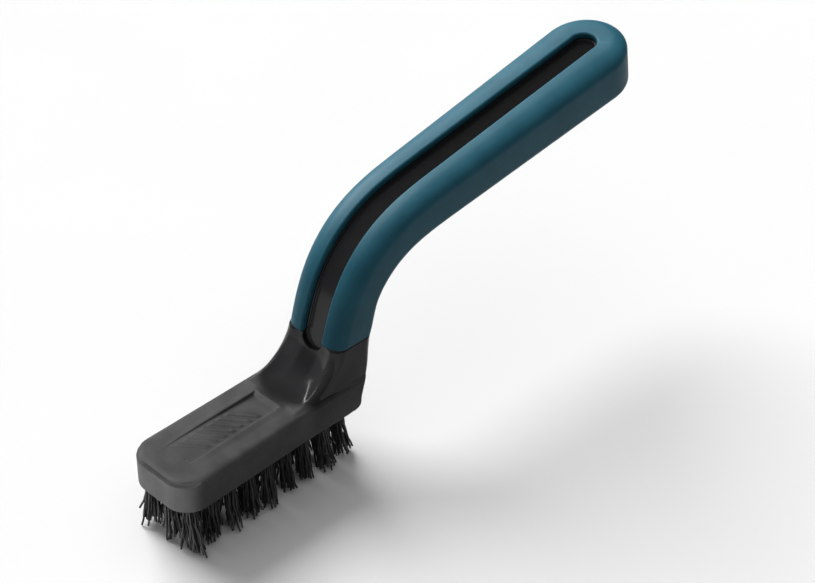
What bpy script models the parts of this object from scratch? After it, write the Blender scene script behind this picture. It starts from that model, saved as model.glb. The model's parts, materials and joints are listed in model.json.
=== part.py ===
"""Gooseneck hand brush: a moulded core, a soft overmoulded grip, filament tufts and their staples.

Metres, +Z up. X runs from the toe of the head to the butt of the handle, and Y runs across.
The brush stands on its filament tips at Z = 0, with the origin under the middle of its length.
Until place_brush moves the whole brush there, X is measured from the toe and Z from the bristle face.
"""

import math

import bmesh
import bpy
from mathutils import Vector

# Head
HEAD_THICKNESS = 0.0116
WALL_HEIGHT = 0.0104
TOE_EDGE_WIDTH = 0.0024
HEEL_EDGE_WIDTH = 0.0009
BACK_EDGE_WIDTH = 0.0003
TOE_HALF_WIDTH = 0.0132
HEEL_HALF_WIDTH = 0.0124
TOE_CORNER_RADIUS = 0.0081
HEEL_CORNER_RADIUS = 0.0014
FACE_LENGTH = 0.0693
HEEL_RISE = 0.0022
HEEL_X = 0.0713

# Sunk panel in the head's top, deepest at its neck end
PANEL_START = 0.0070
PANEL_END = 0.0438
PANEL_HALF_WIDTH = 0.0051
PANEL_DEPTH = 0.0011
PANEL_END_SLOPE = 0.0022

# Neck, up to the level seam where the grip starts
SEAM_Z = 0.0244
SADDLE_X = 0.0460
SADDLE_RADIUS = 0.0170
NECK_HALF_WIDTH = 0.0111
RIDGE_RADIUS = 0.0015

# Handle: its mid-line leaves the seam steeply and bends over to a gentle rise
SEAM_X = 0.0690
SEAM_ANGLE = math.radians(74.8)
HANDLE_ANGLE = math.radians(8.3)
BEND_LEAD = 0.0074
BEND_LENGTH = 0.0682
HANDLE_LENGTH = 0.1444
SEAM_HALF_WIDTH = 0.0116
BUTT_HALF_WIDTH = 0.0144
SEAM_DEPTH = 0.0133
BUTT_DEPTH = 0.0163
SEAM_FLARE = 0.0015
FLARE_LENGTH = 0.0200
TOP_ROUNDING = 0.0040
BUTT_TOP_ROUNDING = 0.0024
UNDER_ROUNDING = 0.0030
LIP_ROUNDING = 0.0008

# Recess along the handle's top: the grip's slot, and a narrower groove in the core below it
SLOT_HALF_WIDTH = 0.0042
SLOT_END_REACH = 0.0051
LEDGE_DEPTH = 0.0020
GROOVE_HALF_WIDTH = 0.0037
GROOVE_DEPTH = 0.0026
GROOVE_LOW_END = -0.0061
GRIP_SIDE_WALL = 0.0042
GRIP_UNDER_WALL = 0.0025
SPINE_START = -0.0130

# Tufts: three rows along the head, each tuft folded over a staple in its own bore
TUFT_COLUMNS = 9
TUFT_ROWS = (-0.0083, 0.0, 0.0083)
FIRST_TUFT_X = 0.0056
LAST_TUFT_X = 0.0642
FILAMENT_LENGTH = 0.0185
TUFT_TIP_RADIUS = 0.0032
BORE_RADIUS = 0.0024
BORE_DEPTH = 0.0090
STAPLE_LENGTH = 0.0056
STAPLE_HEIGHT = 0.0020
STAPLE_THICKNESS = 0.0004
STAPLE_TOP = 0.0076

# Clearance between touching pieces, how far a cutter runs past a face, and how finely shapes are divided
GAP = 0.0003
OVERCUT = 0.0060
CORNER_STEPS = 6
EDGE_STEPS = 3
SADDLE_STEPS = 9
BUTT_STEPS = 9
BEND_STEPS = 20
STRAIGHT_STEPS = 3
GROOVE_END_STEPS = 5
MID_LINE_STEPS = 1200
SEAM_BLEND = 0.0080
SEAM_SOLVE_STEPS = 6
BORE_SIDES = 16
TUFT_SIDES = 12
WELD = 0.000001
SHARP_ANGLE = math.radians(35)


def clear_scene():
    for obj in list(bpy.data.objects):
        bpy.data.objects.remove(obj, do_unlink=True)


def make_material(name, colour, roughness, metallic=0.0):
    material = bpy.data.materials.new(name)
    material.use_nodes = True
    shader = material.node_tree.nodes["Principled BSDF"]
    shader.inputs["Base Color"].default_value = (*colour, 1.0)
    shader.inputs["Roughness"].default_value = roughness
    shader.inputs["Metallic"].default_value = metallic
    return material


def add_object(name, mesh):
    obj = bpy.data.objects.new(name, mesh)
    bpy.context.scene.collection.objects.link(obj)
    return obj


def object_from(shape, name, material=None):
    """An object with the bmesh's faces, welded, turned outwards and shaded smooth."""
    bmesh.ops.remove_doubles(shape, verts=shape.verts, dist=WELD)
    bmesh.ops.recalc_face_normals(shape, faces=shape.faces)
    mesh = bpy.data.meshes.new(name)
    shape.to_mesh(mesh)
    shape.free()
    mesh.shade_smooth()
    mesh.set_sharp_from_angle(angle=SHARP_ANGLE)
    if material:
        mesh.materials.append(material)
    return add_object(name, mesh)


def combine(obj, helper, operation):
    """Joins a helper solid to an object, or cuts it away, and leaves the helper out of the part."""
    modifier = obj.modifiers.new(helper.name, "BOOLEAN")
    modifier.operation = operation
    modifier.solver = "EXACT"
    modifier.object = helper
    helper.hide_render = True
    helper.display_type = "WIRE"


def loft(rings):
    """A closed solid through rings of points, with a flat cap on the first and the last."""
    shape = bmesh.new()
    rows = [[shape.verts.new(point) for point in ring] for ring in rings]
    count = len(rows[0])
    for lower, upper in zip(rows, rows[1:]):
        for i in range(count):
            j = (i + 1) % count
            shape.faces.new((lower[i], lower[j], upper[j], upper[i]))
    shape.faces.new(rows[0][::-1])
    shape.faces.new(rows[-1])
    return shape


def quarter_arc(centre, radius, start, steps):
    """Points (a, b) of a quarter circle, anticlockwise from the start angle."""
    turns = [start + math.pi / 2 * i / steps for i in range(steps + 1)]
    return [(centre[0] + radius * math.cos(t), centre[1] + radius * math.sin(t)) for t in turns]


def level_ring(z, front, back, half_widths, radii):
    """A level outline with round corners. half_widths and radii are given at the front and at the back."""
    front_side = half_widths[0] - radii[0]
    back_side = half_widths[1] - radii[1]
    corners = (
        ((front + radii[0], -front_side), radii[0], math.pi),
        ((back - radii[1], -back_side), radii[1], math.pi * 3 / 2),
        ((back - radii[1], back_side), radii[1], 0.0),
        ((front + radii[0], front_side), radii[0], math.pi / 2),
    )
    ring = []
    for centre, radius, start in corners:
        ring += [Vector((x, y, z)) for x, y in quarter_arc(centre, radius, start, CORNER_STEPS)]
    return ring


def back_x(z):
    """The back of the heel and the neck: a round heel, then a wall that leans back as it rises."""
    if z < HEEL_RISE:
        drop = 1 - z / HEEL_RISE
        return FACE_LENGTH + (HEEL_X - FACE_LENGTH) * math.sqrt(1 - drop * drop)
    seam_back = SEAM_X + (SEAM_DEPTH / 2 + SEAM_FLARE) / math.sin(SEAM_ANGLE)
    return HEEL_X + (seam_back - HEEL_X) * (z - HEEL_RISE) / (SEAM_Z - HEEL_RISE)


def head_ring(z, share=0.0):
    """The head's outline at a level, drawn in by a share of the width of its soft top edge."""
    toe_inset = TOE_EDGE_WIDTH * share
    half_widths = (TOE_HALF_WIDTH - toe_inset, HEEL_HALF_WIDTH - HEEL_EDGE_WIDTH * share)
    radii = (TOE_CORNER_RADIUS - toe_inset, HEEL_CORNER_RADIUS)
    return level_ring(z, toe_inset, back_x(z) - BACK_EDGE_WIDTH * share, half_widths, radii)


def neck_ring(turn, share):
    """The neck's outline where its concave front has turned up by an angle, at a share of its height."""
    z = HEAD_THICKNESS + SADDLE_RADIUS * (1 - math.cos(turn))
    half = NECK_HALF_WIDTH + (SEAM_HALF_WIDTH - NECK_HALF_WIDTH) * math.sqrt(share)
    front_radius = RIDGE_RADIUS + (TOP_ROUNDING - RIDGE_RADIUS) * share
    back = back_x(z) - BACK_EDGE_WIDTH * 2 * (1 - share)
    front = SADDLE_X + SADDLE_RADIUS * math.sin(turn)
    return level_ring(z, front, back, (half, half), (front_radius, UNDER_ROUNDING))


def make_head_and_neck(material):
    """The block that carries the tufts, with a soft edge round its top, and the neck that rises from it."""
    rings = []
    for i in range(EDGE_STEPS + 1):
        rings.append(head_ring(HEEL_RISE * (1 - math.cos(math.pi / 2 * i / EDGE_STEPS))))
    for i in range(EDGE_STEPS + 1):
        turn = math.pi / 2 * i / EDGE_STEPS
        z = WALL_HEIGHT + (HEAD_THICKNESS - WALL_HEIGHT) * math.sin(turn)
        rings.append(head_ring(z, 1 - math.cos(turn)))
    last_turn = math.acos(1 - (SEAM_Z - GAP - HEAD_THICKNESS) / SADDLE_RADIUS)
    for i in range(SADDLE_STEPS + 1):
        share = i / SADDLE_STEPS
        rings.append(neck_ring(last_turn * share, share))
    return object_from(loft(rings), "core_body", material)


def smooth_step(share):
    """0 to 1 with no kink in the slope or the curvature at either end."""
    share = min(max(share, 0.0), 1.0)
    return share**3 * (share * (6 * share - 15) + 10)


def handle_angle(distance):
    """The mid-line's angle above level, at a distance along it from the seam."""
    return SEAM_ANGLE + (HANDLE_ANGLE - SEAM_ANGLE) * smooth_step((distance + BEND_LEAD) / BEND_LENGTH)


def trace_mid_line(start, step):
    """Points (x, z) of the handle's mid-line, a step apart, from a start below the seam."""
    points = [(0.0, 0.0)]
    for i in range(MID_LINE_STEPS):
        angle = handle_angle(start + step * (i + 0.5))
        x, z = points[-1]
        points.append((x + step * math.cos(angle), z + step * math.sin(angle)))
    x0, z0 = points[round(-start / step)]
    return [(x - x0 + SEAM_X, z - z0 + SEAM_Z) for x, z in points]


MID_LINE_STEP = (HANDLE_LENGTH + SEAM_Z * 2) / MID_LINE_STEPS
MID_LINE_START = -MID_LINE_STEP * round(SEAM_Z / MID_LINE_STEP)
MID_LINE = trace_mid_line(MID_LINE_START, MID_LINE_STEP)


def handle_point(along, across, up):
    """The point at a distance along the mid-line, across it along Y, and up along its normal."""
    place = (along - MID_LINE_START) / MID_LINE_STEP
    index = min(max(int(place), 0), MID_LINE_STEPS - 1)
    (x0, z0), (x1, z1) = MID_LINE[index : index + 2]
    share = place - index
    angle = handle_angle(along)
    x = x0 + (x1 - x0) * share - up * math.sin(angle)
    z = z0 + (z1 - z0) * share + up * math.cos(angle)
    return Vector((x, across, z))


def handle_size(along):
    """The handle's half width and the heights of its top and its underside above the mid-line.

    It grows towards the butt, and its underside flares out towards the seam.
    """
    share = min(max(along / (HANDLE_LENGTH - BUTT_HALF_WIDTH), 0.0), 1.0)
    half = SEAM_HALF_WIDTH + (BUTT_HALF_WIDTH - SEAM_HALF_WIDTH) * share
    half_depth = (SEAM_DEPTH + (BUTT_DEPTH - SEAM_DEPTH) * share) / 2
    flare = SEAM_FLARE * (1 - smooth_step(along / FLARE_LENGTH))
    return half, half_depth, -half_depth - flare


def seam_shift(up):
    """How far along the mid-line a point that high above it meets the level plane of the seam."""
    along = 0.0
    for _ in range(SEAM_SOLVE_STEPS):
        along -= (handle_point(along, 0.0, up).z - SEAM_Z) / math.sin(handle_angle(along))
    return along


def outline_stations(start):
    """Stations (along, side, turn) down the far side of the handle, round its butt and up its near side."""
    bend_end = BEND_LENGTH - BEND_LEAD
    butt_centre = HANDLE_LENGTH - BUTT_HALF_WIDTH
    sides = [start + (bend_end - start) * i / BEND_STEPS for i in range(BEND_STEPS)]
    sides += [bend_end + (butt_centre - bend_end) * i / STRAIGHT_STEPS for i in range(STRAIGHT_STEPS)]
    turns = [math.pi * i / (2 * BUTT_STEPS) for i in range(2 * BUTT_STEPS + 1)]
    stations = [(along, 1, 0.0) for along in sides]
    stations += [(butt_centre, 1, turn) for turn in turns]
    return stations + [(along, -1, 0.0) for along in reversed(sides)]


def sweep_handle(profile, start):
    """A solid swept down one side of the handle, round its butt and back up the other side.

    profile gives the points (out, up) of one half of the section. The first and the last have out at 0, where
    they meet the other half. A sweep that starts at the seam has a level end face.
    """
    shape = bmesh.new()
    rows = []
    for along, side, turn in outline_stations(start):
        half, top, under = handle_size(along)
        fade = max(1 - along / SEAM_BLEND, 0.0) if start == 0 else 0.0
        row = []
        for out, up in profile(half, top, under, math.sin(turn)):
            shift = out * math.sin(turn) + (seam_shift(up) * fade if fade else 0.0)
            row.append(shape.verts.new(handle_point(along + shift, out * math.cos(turn) * side, up)))
        rows.append(row)
    for first, second in zip(rows, rows[1:]):
        for i in range(len(first) - 1):
            shape.faces.new((first[i], first[i + 1], second[i + 1], second[i]))
    shape.faces.new(rows[0] + rows[-1][-2:0:-1])
    return shape


def spine_half_width(half):
    return half - GRIP_SIDE_WALL - GAP


def grip_profile(half, top, under, butt_share):
    """Half of the grip's C-shaped section: outside, over the rim, down the slot and round the spine."""
    slot = SLOT_HALF_WIDTH + (SLOT_END_REACH - SLOT_HALF_WIDTH) * butt_share
    under_centre = (half - UNDER_ROUNDING, under + UNDER_ROUNDING)
    rounding = TOP_ROUNDING + (BUTT_TOP_ROUNDING - TOP_ROUNDING) * butt_share
    top_centre = (half - rounding, top - rounding)
    ledge = top - LEDGE_DEPTH + GAP
    inner = spine_half_width(half) + GAP
    floor = under + GRIP_UNDER_WALL
    points = [(0.0, under)]
    points += quarter_arc(under_centre, UNDER_ROUNDING, -math.pi / 2, EDGE_STEPS)
    points += quarter_arc(top_centre, rounding, 0.0, EDGE_STEPS + 1)
    points += [(slot + LIP_ROUNDING, top), (slot, top - LIP_ROUNDING), (slot, ledge)]
    return points + [(inner, ledge), (inner, floor), (0.0, floor)]


def spine_profile(half, top, under, _):
    """Half of the section of the core's spine, which fills the grip."""
    side = spine_half_width(half)
    floor = under + GRIP_UNDER_WALL + GAP
    return [(0.0, floor), (side, floor), (side, top - LEDGE_DEPTH), (0.0, top - LEDGE_DEPTH)]


def groove_cutter():
    """The groove along the spine's top, round at both ends, that runs down into the neck's front."""
    high_end = HANDLE_LENGTH - BUTT_HALF_WIDTH + SLOT_END_REACH - SLOT_HALF_WIDTH + GROOVE_HALF_WIDTH
    low_centre = GROOVE_LOW_END + GROOVE_HALF_WIDTH
    high_centre = high_end - GROOVE_HALF_WIDTH
    turns = [math.pi / 2 * (i + 0.5) / GROOVE_END_STEPS for i in range(GROOVE_END_STEPS)]
    round_end = [(GROOVE_HALF_WIDTH * math.cos(t), GROOVE_HALF_WIDTH * math.sin(t)) for t in turns]
    middle = BEND_STEPS + STRAIGHT_STEPS
    length = high_centre - low_centre
    stations = [(low_centre - reach, half) for reach, half in round_end]
    stations += [(low_centre + length * i / middle, GROOVE_HALF_WIDTH) for i in range(middle + 1)]
    stations += [(high_centre + reach, half) for reach, half in reversed(round_end)]
    rings = []
    for along, half in stations:
        top = handle_size(along)[1]
        corners = ((-half, -GROOVE_DEPTH), (half, -GROOVE_DEPTH), (half, OVERCUT), (-half, OVERCUT))
        rings.append([handle_point(along, across, top + up) for across, up in corners])
    return object_from(loft(rings), "groove_cutter")


def panel_cutter():
    """A wedge that sinks the panel, from nothing at its toe end to a sloping end wall."""
    floor_end = PANEL_END - PANEL_END_SLOPE
    fall = PANEL_DEPTH / (floor_end - PANEL_START)
    high = HEAD_THICKNESS + PANEL_DEPTH
    side = (
        (PANEL_START - PANEL_END_SLOPE, HEAD_THICKNESS + fall * PANEL_END_SLOPE),
        (floor_end, HEAD_THICKNESS - PANEL_DEPTH),
        (PANEL_END + PANEL_END_SLOPE, high),
        (PANEL_START - PANEL_END_SLOPE, high),
    )
    rings = [[Vector((x, y, z)) for x, z in side] for y in (-PANEL_HALF_WIDTH, PANEL_HALF_WIDTH)]
    return object_from(loft(rings), "panel_cutter")


def tuft_places():
    pitch = (LAST_TUFT_X - FIRST_TUFT_X) / (TUFT_COLUMNS - 1)
    return [(FIRST_TUFT_X + pitch * column, y) for column in range(TUFT_COLUMNS) for y in TUFT_ROWS]


def add_rod(shape, place, levels, sides):
    """Adds a turned rod to a bmesh, through (radius, z) levels from the bottom up."""
    rows = []
    for radius, z in levels:
        turns = [2 * math.pi * i / sides for i in range(sides)]
        row = [(place[0] + radius * math.cos(t), place[1] + radius * math.sin(t), z) for t in turns]
        rows.append([shape.verts.new(point) for point in row])
    for lower, upper in zip(rows, rows[1:]):
        for i in range(sides):
            j = (i + 1) % sides
            shape.faces.new((lower[i], lower[j], upper[j], upper[i]))
    shape.faces.new(rows[0][::-1])
    shape.faces.new(rows[-1])


def add_block(shape, place, size, bottom):
    """Adds a box to a bmesh, centred on a place, with its lowest face at bottom."""
    made = bmesh.ops.create_cube(shape, size=1.0)["verts"]
    bmesh.ops.scale(shape, verts=made, vec=size)
    bmesh.ops.translate(shape, verts=made, vec=(place[0], place[1], bottom + size[2] / 2))


def bore_cutter():
    shape = bmesh.new()
    for place in tuft_places():
        add_rod(shape, place, ((BORE_RADIUS, -OVERCUT), (BORE_RADIUS, BORE_DEPTH)), BORE_SIDES)
    return object_from(shape, "bore_cutter")


def staple_slot_cutter():
    """The slits beside each bore that the ends of its staple bite into."""
    shape = bmesh.new()
    size = (STAPLE_THICKNESS + 2 * GAP, STAPLE_LENGTH + 2 * GAP, STAPLE_HEIGHT + 2 * GAP)
    for place in tuft_places():
        add_block(shape, place, size, STAPLE_TOP - STAPLE_HEIGHT - GAP)
    return object_from(shape, "staple_slot_cutter")


def make_core(material):
    """Head, neck and the spine inside the grip, moulded as one piece."""
    core = make_head_and_neck(material)
    combine(core, bore_cutter(), "DIFFERENCE")
    combine(core, staple_slot_cutter(), "DIFFERENCE")
    combine(core, panel_cutter(), "DIFFERENCE")
    combine(core, object_from(sweep_handle(spine_profile, SPINE_START), "spine"), "UNION")
    combine(core, groove_cutter(), "DIFFERENCE")
    return core


def make_grip(material):
    """The soft loop round the handle, open along its top and at the neck."""
    return object_from(sweep_handle(grip_profile, 0), "soft_grip", material)


def tuft_mesh(material):
    """One tuft on its own axis: straight in its bore, spread below it, with a window for the staple."""
    shape = bmesh.new()
    radius = BORE_RADIUS - GAP
    levels = ((TUFT_TIP_RADIUS, -FILAMENT_LENGTH), (radius, 0.0), (radius, BORE_DEPTH - GAP))
    add_rod(shape, (0.0, 0.0), levels, TUFT_SIDES)
    tuft = object_from(shape, "tuft_pattern", material)
    window = bmesh.new()
    size = (STAPLE_THICKNESS + 2 * GAP, 2 * (BORE_RADIUS + OVERCUT), STAPLE_HEIGHT + 2 * GAP)
    add_block(window, (0.0, 0.0), size, STAPLE_TOP - STAPLE_HEIGHT - GAP)
    combine(tuft, object_from(window, "staple_window"), "DIFFERENCE")
    graph = bpy.context.evaluated_depsgraph_get()
    mesh = bpy.data.meshes.new_from_object(tuft.evaluated_get(graph))
    for helper in (tuft, bpy.data.objects["staple_window"]):
        bpy.data.objects.remove(helper, do_unlink=True)
    return mesh


def staple_mesh(material):
    """A flat piece of wire that anchors one tuft."""
    shape = bmesh.new()
    size = (STAPLE_THICKNESS, STAPLE_LENGTH, STAPLE_HEIGHT)
    add_block(shape, (0.0, 0.0), size, STAPLE_TOP - STAPLE_HEIGHT)
    staple = object_from(shape, "staple_pattern", material)
    mesh = staple.data
    bpy.data.objects.remove(staple, do_unlink=True)
    return mesh


def make_tufts(filament, steel):
    tuft = tuft_mesh(filament)
    staple = staple_mesh(steel)
    for number, (x, y) in enumerate(tuft_places(), 1):
        add_object(f"tuft_{number:02d}", tuft).location = (x, y, 0.0)
        add_object(f"staple_{number:02d}", staple).location = (x, y, 0.0)


def place_brush(grip):
    """Moves every piece so that the tips stand at Z = 0 and the origin is under the middle of the length."""
    length = max(vertex.co.x for vertex in grip.data.vertices)
    origin = add_object("brush_origin", None)
    for obj in bpy.data.objects:
        if obj != origin:
            obj.parent = origin
    origin.location = (-length / 2, 0.0, FILAMENT_LENGTH)
    bpy.context.view_layer.update()


def main():
    clear_scene()
    core_plastic = make_material("core_plastic", (0.020, 0.020, 0.021), 0.42)
    grip_rubber = make_material("grip_rubber", (0.016, 0.070, 0.100), 0.62)
    filament = make_material("filament", (0.012, 0.012, 0.013), 0.50)
    staple_steel = make_material("staple_steel", (0.62, 0.62, 0.60), 0.35, 1.0)
    make_core(core_plastic)
    grip = make_grip(grip_rubber)
    make_tufts(filament, staple_steel)
    place_brush(grip)


main()
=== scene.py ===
"""Looks of a gooseneck hand brush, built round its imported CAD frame.

Shapes are worked out in millimetres in the head's own place: X from the toe, Y across, Z up from the
bristle face. head_to_world turns them into the frame's metres.
"""

import json
import math

import bmesh
import bpy
import numpy as np
from mathutils import Matrix, Vector


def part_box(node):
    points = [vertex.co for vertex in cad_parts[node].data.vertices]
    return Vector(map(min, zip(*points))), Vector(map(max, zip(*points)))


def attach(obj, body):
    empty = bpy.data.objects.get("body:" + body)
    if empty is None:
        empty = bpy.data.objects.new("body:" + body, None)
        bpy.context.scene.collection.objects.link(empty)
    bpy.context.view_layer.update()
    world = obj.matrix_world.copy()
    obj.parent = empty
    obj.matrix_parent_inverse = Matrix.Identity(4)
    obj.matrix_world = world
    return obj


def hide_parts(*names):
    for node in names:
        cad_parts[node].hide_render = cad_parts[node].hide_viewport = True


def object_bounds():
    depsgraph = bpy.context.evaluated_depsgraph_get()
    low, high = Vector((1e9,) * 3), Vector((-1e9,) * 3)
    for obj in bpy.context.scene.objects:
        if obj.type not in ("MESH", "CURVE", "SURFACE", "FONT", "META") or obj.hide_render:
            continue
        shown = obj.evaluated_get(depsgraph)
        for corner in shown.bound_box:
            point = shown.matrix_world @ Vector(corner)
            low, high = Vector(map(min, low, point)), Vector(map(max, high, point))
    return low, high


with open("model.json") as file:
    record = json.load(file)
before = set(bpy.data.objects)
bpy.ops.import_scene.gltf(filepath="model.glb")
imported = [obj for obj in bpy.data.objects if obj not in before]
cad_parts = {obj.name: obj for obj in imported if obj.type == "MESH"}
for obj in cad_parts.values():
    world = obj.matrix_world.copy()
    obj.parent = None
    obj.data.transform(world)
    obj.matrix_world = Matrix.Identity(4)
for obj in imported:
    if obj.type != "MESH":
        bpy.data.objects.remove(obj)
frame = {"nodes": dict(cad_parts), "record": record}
cad_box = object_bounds()

MM = 0.001
TINY = 1e-9

# The frame: where the head starts, the face that the filaments grow from, and the head's top
mounts = {mount["name"]: mount["pos_m"] for mount in frame["record"]["mounts"]}
TOE_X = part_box("core_body")[0].x / MM
FACE_Z = mounts["bristle_face"][2] / MM
HEAD_THICKNESS = mounts["head_top"][2] / MM - FACE_Z

# Head
TOE_EDGE_WIDTH = 2.4
HEEL_EDGE_WIDTH = 0.9
EDGE_HEIGHT = 1.2
HEAD_CROWN = 0.8
CROWN_POWER = 2.5
BOTTOM_EDGE = 0.4
TOE_HALF_WIDTH = 13.2
HEEL_HALF_WIDTH = 12.4
TOE_CORNER_RADIUS = 8.1
HEEL_CORNER_RADIUS = 1.4
FACE_LENGTH = 69.3
HEEL_RISE = 2.2
HEEL_X = 71.3
TOE_GROOVE_Z = 10.3
TOE_GROOVE_RADIUS = 0.70
TOE_GROOVE_STRETCH = 2.2
TOE_GROOVE_END = 9.0
TOE_GROOVE_FADE = 6.0

# Sunk panel, and the slanted bars that stand on its floor
PANEL_START = 7.0
PANEL_END = 43.8
PANEL_HALF_WIDTH = 5.1
PANEL_DEPTH = 1.1
PANEL_END_SLOPE = 1.0
PANEL_EDGE = 0.40
THIN_EDGE = 0.02
BORDER_HEIGHT = 0.35
BORDER_WIDTH = 3.0
BAR_COUNT = 7
BAR_START = 14.5
BAR_PITCH = 3.3
BAR_SLANT = 0.80
BAR_HALF_WIDTH = 0.75
BAR_HALF_LENGTH = 3.7
BAR_HEIGHT = 0.46
BAR_SOFTNESS = 0.6
BAR_END_SOFTNESS = 1.4

# Neck
SEAM_Z = 24.4
SADDLE_X = 46.0
NECK_HALF_WIDTH = 11.6
RIDGE_RADIUS = 1.5
DISH_DEPTH = 1.4
DISH_HIGH_DEPTH = 0.8
DISH_HALF_WIDTH = 10.6
DISH_FLATNESS = 5
DISH_HIGH_HALF_WIDTH = 8.8
DISH_LENGTH = 12.0
NECK_FILLET = 1.4
NECK_SINK = 0.2
NECK_LEAD = 12.0
SIDE_BLEND = 13.0
SEAM_STEP = 0.3
SEAM_OVERLAP = 0.5

# Handle
SEAM_X = 69.0
SEAM_ANGLE = math.radians(74.8)
HANDLE_ANGLE = math.radians(8.3)
BEND_LEAD = 7.4
BEND_LENGTH = 68.2
HANDLE_LENGTH = 144.4
SEAM_HALF_WIDTH = 11.6
BUTT_HALF_WIDTH = 14.4
SEAM_DEPTH = 13.3
BUTT_DEPTH = 16.3
SEAM_FLARE = 1.5
FLARE_LENGTH = 20.0
TOP_ROUNDING = 4.0
BUTT_TOP_ROUNDING = 2.4
UNDER_ROUNDING = 3.0
LIP_ROUNDING = 0.8

# Recess along the handle's top
SLOT_HALF_WIDTH = 4.2
SLOT_END_REACH = 5.1
LEDGE_DEPTH = 2.0
GROOVE_HALF_WIDTH = 3.7
GROOVE_DEPTH = 2.6
GROOVE_LOW_END = -6.1
GROOVE_TAPER = 1.2
GROOVE_EDGE = 0.35
GRIP_SIDE_WALL = 4.2
GRIP_UNDER_WALL = 2.5
SPINE_START = -13.0
GAP = 0.3

# Tufts
TUFT_COLUMNS = 9
TUFT_ROWS = (-8.3, 0.0, 8.3)
FIRST_TUFT_X = 5.6
LAST_TUFT_X = 64.2
TUFT_PITCH = (LAST_TUFT_X - FIRST_TUFT_X) / (TUFT_COLUMNS - 1)
BORE_RADIUS = 2.4
BORE_DEPTH = 9.0
BORE_EDGE = 0.25

# Camera, aimed at a point given from the middle of the CAD box, in metres
CAMERA_AZIMUTH = math.radians(-45.54)
CAMERA_ELEVATION = math.radians(37.89)
CAMERA_ROLL = math.radians(0.42)
CAMERA_DISTANCE = 0.6535
CAMERA_LENS = 97.18
CAMERA_AIM = Vector((-0.01204, -0.01666, 0.00832))


def smooth_step(share):
    """0 to 1 with no kink in the slope or the curvature at either end."""
    share = np.clip(share, 0.0, 1.0)
    return share**3 * (share * (6 * share - 15) + 10)


def mix(low, high, share):
    return low + (high - low) * share


def soft_corner(first, second, width, height):
    """The meeting of two faces, given as depths, as a quarter ellipse.

    It starts width inside the first face and height inside the second.
    """
    u = np.maximum(first + width, 0.0) / width
    v = np.maximum(second + height, 0.0) / height
    square = u * u + v * v
    scale = (width * u * u + height * v * v) / np.maximum(square, TINY)
    return np.where(square > 0, (np.sqrt(square) - 1) * scale, np.maximum(first, second))


def soft_union(first, second, radius):
    """The union of two solids, given as depths, with a fillet in the corner between them."""
    overlap = np.maximum(radius - np.abs(first - second), 0.0) / radius
    return np.minimum(first, second) - overlap * overlap * radius / 4


# Centre line: level through the head, round an arc under the saddle, then along the handle

LINE_Z = HEAD_THICKNESS - SEAM_DEPTH / 2
MID_LINE_STEP = 0.05
MID_LINE_LEAD = 20.0
SADDLE_SEARCH = (-8.0, 3.0)
SADDLE_ROUNDS = 40
STRETCH_STEP = 0.5
LEAST_STRETCH = 0.2


def handle_angle(station):
    """The handle's angle above level, at a station along its mid-line from the seam."""
    return SEAM_ANGLE + (HANDLE_ANGLE - SEAM_ANGLE) * smooth_step((station + BEND_LEAD) / BEND_LENGTH)


def trace_mid_line():
    """Stations of the handle's mid-line and its x and z there."""
    stations = np.arange(-MID_LINE_LEAD, HANDLE_LENGTH + MID_LINE_LEAD, MID_LINE_STEP)
    angles = handle_angle(stations[:-1] + MID_LINE_STEP / 2)
    x = np.concatenate([[0.0], np.cumsum(np.cos(angles))]) * MID_LINE_STEP
    z = np.concatenate([[0.0], np.cumsum(np.sin(angles))]) * MID_LINE_STEP
    x += SEAM_X - np.interp(0.0, stations, x)
    z += SEAM_Z - np.interp(0.0, stations, z)
    return stations, x, z


MID_STATIONS, MID_X, MID_Z = trace_mid_line()


def fit_saddle():
    """The radius of the arc and the station where it ends, so that it meets the handle without a step."""
    low, high = SADDLE_SEARCH
    for _ in range(SADDLE_ROUNDS):
        station = (low + high) / 2
        turn = float(handle_angle(station))
        radius = (np.interp(station, MID_STATIONS, MID_X) - SADDLE_X) / math.sin(turn)
        miss = LINE_Z + radius * (1 - math.cos(turn)) - np.interp(station, MID_STATIONS, MID_Z)
        low, high = (station, high) if miss > 0 else (low, station)
    return radius, station


ARC_RADIUS, ARC_END_STATION = fit_saddle()
ARC_TURN = float(handle_angle(ARC_END_STATION))
ARC_END = SADDLE_X + ARC_RADIUS * ARC_TURN
SEAM_ALONG = ARC_END - ARC_END_STATION


def line_angle(along):
    """The centre line's angle above level, at a distance along it from the toe."""
    on_arc = np.clip((along - SADDLE_X) / ARC_RADIUS, 0.0, ARC_TURN)
    return np.where(along < ARC_END, on_arc, handle_angle(along - SEAM_ALONG))


def line_stretch(along, up):
    """How much longer the way is at a height above the centre line than on the line itself."""
    ahead, behind = line_angle(along + STRETCH_STEP), line_angle(along - STRETCH_STEP)
    turning = (ahead - behind) / (2 * STRETCH_STEP)
    return np.maximum(1 - up * turning, LEAST_STRETCH)


def line_place(along, up):
    """x and z of the point at a distance along the centre line and a height above it."""
    station = along - SEAM_ALONG
    turn = np.clip((along - SADDLE_X) / ARC_RADIUS, 0.0, ARC_TURN)
    head_x = np.minimum(along, SADDLE_X) + ARC_RADIUS * np.sin(turn)
    head_z = LINE_Z + ARC_RADIUS * (1 - np.cos(turn))
    on_handle = along >= ARC_END
    x = np.where(on_handle, np.interp(station, MID_STATIONS, MID_X), head_x)
    z = np.where(on_handle, np.interp(station, MID_STATIONS, MID_Z), head_z)
    angle = line_angle(along)
    return x - up * np.sin(angle), z + up * np.cos(angle)


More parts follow.
